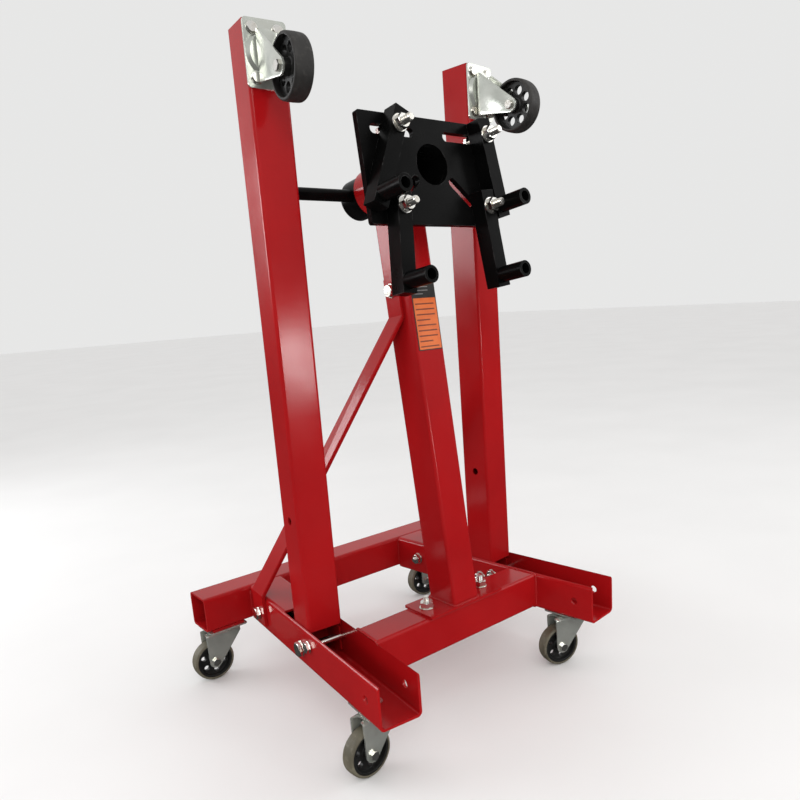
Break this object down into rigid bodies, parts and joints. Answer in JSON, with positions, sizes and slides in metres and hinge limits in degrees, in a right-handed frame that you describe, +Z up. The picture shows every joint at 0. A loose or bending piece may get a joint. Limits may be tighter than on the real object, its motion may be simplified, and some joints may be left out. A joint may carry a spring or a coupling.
{
  "type": "engine stand",
  "caption": "Folding engine stand: splayed base on swivel casters, leaning braced mast, rotating head with adjustable mounting arms, and legs that fold down to the front.",
  "frame": {"origin": "on the floor, on the middle plane of the base, under the line through the feet of the folded-up legs", "axes": "+Z up; -Y to the front, where the legs fold down and the engine hangs; +X to the right seen from the front"},
  "size_m": [0.6332, 0.5562, 1.076],
  "materials": {
    "red_paint": "gloss",
    "black_paint": "gloss",
    "bright_zinc": "bright zinc plate",
    "caster_zinc": "zinc plate",
    "wheel_black": "satin",
    "tread_tan": "matte",
    "tread_black": "matte",
    "black_plastic": "matte",
    "label": "printed film"
  },
  "bodies": {
    "frame": {"rear_tube": "red_paint", "rail_left": "red_paint", "rail_right": "red_paint", "cross_tube": "red_paint", "mast_post": "red_paint", "head_sleeve": "red_paint", "pin_guide": "red_paint", "brace_left": "red_paint", "brace_right": "red_paint", "mast_label": "label", "mast_bolts": "bright_zinc", "brace_bolts": "bright_zinc", "pivot_bolts": "bright_zinc", "stop_bolts": "bright_zinc", "base_caster_plates": "caster_zinc", "base_caster_nuts": "bright_zinc"},
    "leg_left": {"leg_left": "red_paint", "leg_plate_left": "caster_zinc", "leg_screws_left": "bright_zinc"},
    "leg_right": {"leg_right": "red_paint", "leg_plate_right": "caster_zinc", "leg_screws_right": "bright_zinc"},
    "fork_rear_left": {"fork_rear_left": "caster_zinc", "axle_rear_left": "bright_zinc"},
    "wheel_rear_left": {"wheel_rear_left": "wheel_black", "tyre_rear_left": "tread_tan"},
    "fork_rear_right": {"fork_rear_right": "caster_zinc", "axle_rear_right": "bright_zinc"},
    "wheel_rear_right": {"wheel_rear_right": "wheel_black", "tyre_rear_right": "tread_tan"},
    "fork_front_left": {"fork_front_left": "caster_zinc", "axle_front_left": "bright_zinc"},
    "wheel_front_left": {"wheel_front_left": "wheel_black", "tyre_front_left": "tread_tan"},
    "fork_front_right": {"fork_front_right": "caster_zinc", "axle_front_right": "bright_zinc"},
    "wheel_front_right": {"wheel_front_right": "wheel_black", "tyre_front_right": "tread_tan"},
    "fork_leg_left": {"fork_leg_left": "caster_zinc", "axle_leg_left": "bright_zinc"},
    "wheel_leg_left": {"wheel_leg_left": "wheel_black", "tyre_leg_left": "tread_black"},
    "fork_leg_right": {"fork_leg_right": "caster_zinc", "axle_leg_right": "bright_zinc"},
    "wheel_leg_right": {"wheel_leg_right": "wheel_black", "tyre_leg_right": "tread_black"},
    "head": {"head_plate": "black_paint", "head_tube": "black_paint"},
    "handle": {"handle_bar": "black_paint", "handle_caps": "black_plastic"},
    "index_pin": {"index_pin": "bright_zinc"},
    "stud_upper_left": {"stud_upper_left": "bright_zinc"},
    "arm_upper_left": {"arm_upper_left": "black_paint"},
    "stud_upper_right": {"stud_upper_right": "bright_zinc"},
    "arm_upper_right": {"arm_upper_right": "black_paint"},
    "stud_lower_left": {"stud_lower_left": "bright_zinc"},
    "arm_lower_left": {"arm_lower_left": "black_paint"},
    "stud_lower_right": {"stud_lower_right": "bright_zinc"},
    "arm_lower_right": {"arm_lower_right": "black_paint"}
  },
  "joints": [
    {"name": "leg_fold_left", "type": "hinge", "parent": "frame", "child": "leg_left", "pos_m": [-0.20353, -0.00497, 0.1325], "axis": [0.9943, -0.1063, 0], "range_deg": [0, 90]},
    {"name": "leg_fold_right", "type": "hinge", "parent": "frame", "child": "leg_right", "pos_m": [0.20353, -0.00497, 0.1325], "axis": [0.9943, 0.1063, 0], "range_deg": [0, 90]},
    {"name": "swivel_rear_left", "type": "hinge", "parent": "frame", "child": "fork_rear_left", "pos_m": [-0.263, 0.2615, 0.102], "axis": [0, 0, 1], "continuous": true},
    {"name": "roll_rear_left", "type": "hinge", "parent": "fork_rear_left", "child": "wheel_rear_left", "pos_m": [-0.28998, 0.26244, 0.038], "axis": [-0.0349, -0.9994, 0], "continuous": true},
    {"name": "swivel_rear_right", "type": "hinge", "parent": "frame", "child": "fork_rear_right", "pos_m": [0.263, 0.2615, 0.102], "axis": [0, 0, 1], "continuous": true},
    {"name": "roll_rear_right", "type": "hinge", "parent": "fork_rear_right", "child": "wheel_rear_right", "pos_m": [0.23626, 0.26526, 0.038], "axis": [-0.1392, -0.9903, 0], "continuous": true},
    {"name": "swivel_front_left", "type": "hinge", "parent": "frame", "child": "fork_front_left", "pos_m": [-0.22319, -0.18892, 0.102], "axis": [0, 0, 1], "continuous": true},
    {"name": "roll_front_left", "type": "hinge", "parent": "fork_front_left", "child": "wheel_front_left", "pos_m": [-0.25012, -0.19081, 0.038], "axis": [0.0698, -0.9976, 0], "continuous": true},
    {"name": "swivel_front_right", "type": "hinge", "parent": "frame", "child": "fork_front_right", "pos_m": [0.22319, -0.18892, 0.102], "axis": [0, 0, 1], "continuous": true},
    {"name": "roll_front_right", "type": "hinge", "parent": "fork_front_right", "child": "wheel_front_right", "pos_m": [0.19724, -0.18148, 0.038], "axis": [-0.2756, -0.9613, 0], "continuous": true},
    {"name": "swivel_leg_left", "type": "hinge", "parent": "leg_left", "child": "fork_leg_left", "pos_m": [-0.20619, -0.02983, 1.031], "axis": [0.1063, 0.9943, 0], "continuous": true},
    {"name": "roll_leg_left", "type": "hinge", "parent": "fork_leg_left", "child": "wheel_leg_left", "pos_m": [-0.21458, -0.10838, 0.994], "axis": [-0.9943, 0.1063, 0], "continuous": true},
    {"name": "swivel_leg_right", "type": "hinge", "parent": "leg_right", "child": "fork_leg_right", "pos_m": [0.20619, -0.02983, 1.031], "axis": [-0.1063, 0.9943, 0], "continuous": true},
    {"name": "roll_leg_right", "type": "hinge", "parent": "fork_leg_right", "child": "wheel_leg_right", "pos_m": [0.21458, -0.10838, 0.994], "axis": [-0.9943, -0.1063, 0], "continuous": true},
    {"name": "head_turn", "type": "hinge", "parent": "frame", "child": "head", "pos_m": [0.008, -0.0242, 0.87325], "axis": [0, -0.9925, 0.1219], "range_deg": [-60, 60]},
    {"name": "handle_slide", "type": "slide", "parent": "head", "child": "handle", "axis": [1, 0, 0], "range_m": [-0.07, 0.15]},
    {"name": "index_pin_drop", "type": "slide", "parent": "frame", "child": "index_pin", "axis": [0, -0.1219, -0.9925], "range_m": [0, 0.01]},
    {"name": "stud_slide_upper_left", "type": "slide", "parent": "head", "child": "stud_upper_left", "axis": [-1, 0, 0], "range_m": [-0.0035, 0.0245]},
    {"name": "arm_swing_upper_left", "type": "hinge", "parent": "stud_upper_left", "child": "arm_upper_left", "pos_m": [-0.069, -0.11611, 0.92887], "axis": [0, -0.9925, 0.1219], "range_deg": [-88, 2]},
    {"name": "stud_slide_upper_right", "type": "slide", "parent": "head", "child": "stud_upper_right", "axis": [1, 0, 0], "range_m": [-0.002, 0.0035]},
    {"name": "arm_swing_upper_right", "type": "hinge", "parent": "stud_upper_right", "child": "arm_upper_right", "pos_m": [0.106, -0.11611, 0.92887], "axis": [0, -0.9925, 0.1219], "range_deg": [-1, 74]},
    {"name": "stud_slide_lower_left", "type": "slide", "parent": "head", "child": "stud_lower_left", "axis": [-0.7526, -0.0803, -0.6536], "range_m": [-0.055, 0.005]},
    {"name": "arm_swing_lower_left", "type": "hinge", "parent": "stud_lower_left", "child": "arm_lower_left", "pos_m": [-0.08, -0.12996, 0.81611], "axis": [0, -0.9925, 0.1219], "range_deg": [-40, 6]},
    {"name": "stud_slide_lower_right", "type": "slide", "parent": "head", "child": "stud_lower_right", "axis": [0.7526, -0.0803, -0.6536], "range_m": [-0.052, 0.003]},
    {"name": "arm_swing_lower_right", "type": "hinge", "parent": "stud_lower_right", "child": "arm_lower_right", "pos_m": [0.092, -0.12953, 0.81959], "axis": [0, -0.9925, 0.1219], "range_deg": [-4, 12]}
  ]
}
